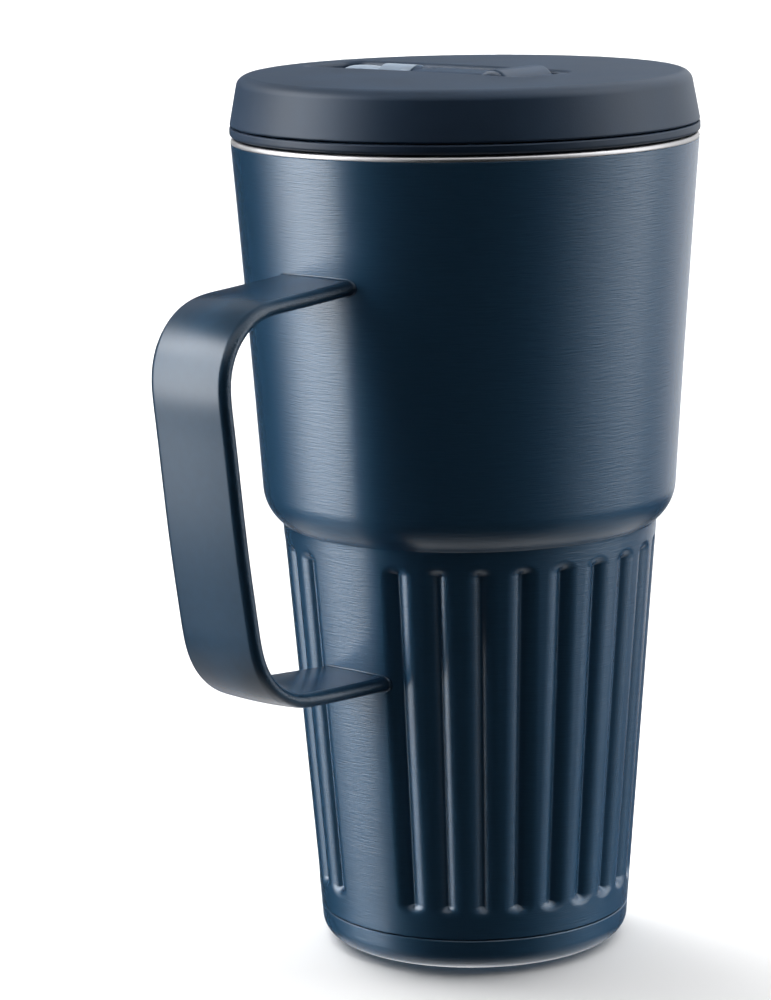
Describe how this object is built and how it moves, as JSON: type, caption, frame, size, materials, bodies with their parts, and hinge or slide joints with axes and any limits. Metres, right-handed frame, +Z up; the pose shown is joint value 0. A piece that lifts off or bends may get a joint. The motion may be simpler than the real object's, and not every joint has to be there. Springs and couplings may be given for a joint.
{
  "type": "insulated travel mug",
  "caption": "Tall insulated travel mug with a rounded step down to a grooved narrower base, a flat strap handle, and a press-in lid with a flip-up straw spout.",
  "frame": {"origin": "centre of the base pad's underside, on the mug's axis, where it stands on a table", "axes": "+Z up along the mug's axis, -X towards the handle, and the folded spout points to +Y"},
  "size_m": [0.1509, 0.1108, 0.2121],
  "materials": {
    "body_lacquer": "satin translucent navy lacquer over brushed steel",
    "handle_lacquer": "satin navy lacquer over smooth steel",
    "vessel_steel": "electropolished stainless steel",
    "foil": "thin bright foil",
    "getter_metal": "sintered pellet",
    "sealing_glass": "fused bead",
    "base_steel": "spun stainless steel",
    "pad_silicone": "matte silicone with concentric ribs",
    "seal_silicone": "soft grey silicone",
    "adapter_silicone": "soft grey silicone",
    "plug_plastic": "fine moulded texture",
    "cover_plastic": "fine moulded texture",
    "spout_plastic": "satin moulded plastic",
    "straw_plastic": "clear frosted tube",
    "mouth_silicone": "soft blue-grey silicone",
    "pin_steel": "ground steel"
  },
  "bodies": {
    "vessel": {"outer_shell": "body_lacquer", "outer_base": "body_lacquer", "handle_strap": "handle_lacquer", "inner_vessel": "vessel_steel", "radiation_foil": "foil", "getter": "getter_metal", "vacuum_plug": "sealing_glass", "base_plate": "base_steel", "base_pad": "pad_silicone"},
    "lid_ring": {"lid_gasket": "seal_silicone"},
    "lid": {"lid_base": "plug_plastic", "lid_cover": "cover_plastic", "spout_seal": "seal_silicone", "straw_adapter": "adapter_silicone", "straw": "straw_plastic", "vent_valve": "seal_silicone", "hinge_pin_left": "pin_steel", "hinge_pin_right": "pin_steel"},
    "spout": {"spout": "spout_plastic", "mouthpiece": "mouth_silicone"}
  },
  "joints": [
    {"name": "lid_lift", "type": "slide", "parent": "vessel", "child": "lid_ring", "axis": [0, 0, 1], "range_m": [0, 0.2]},
    {"name": "lid_turn", "type": "hinge", "parent": "lid_ring", "child": "lid", "pos_m": [0, 0, 0.1895], "axis": [0, 0, 1], "continuous": true},
    {"name": "spout_flip", "type": "hinge", "parent": "lid", "child": "spout", "pos_m": [0, -0.016, 0.2065], "axis": [1, 0, 0], "range_deg": [0, 90]}
  ]
}
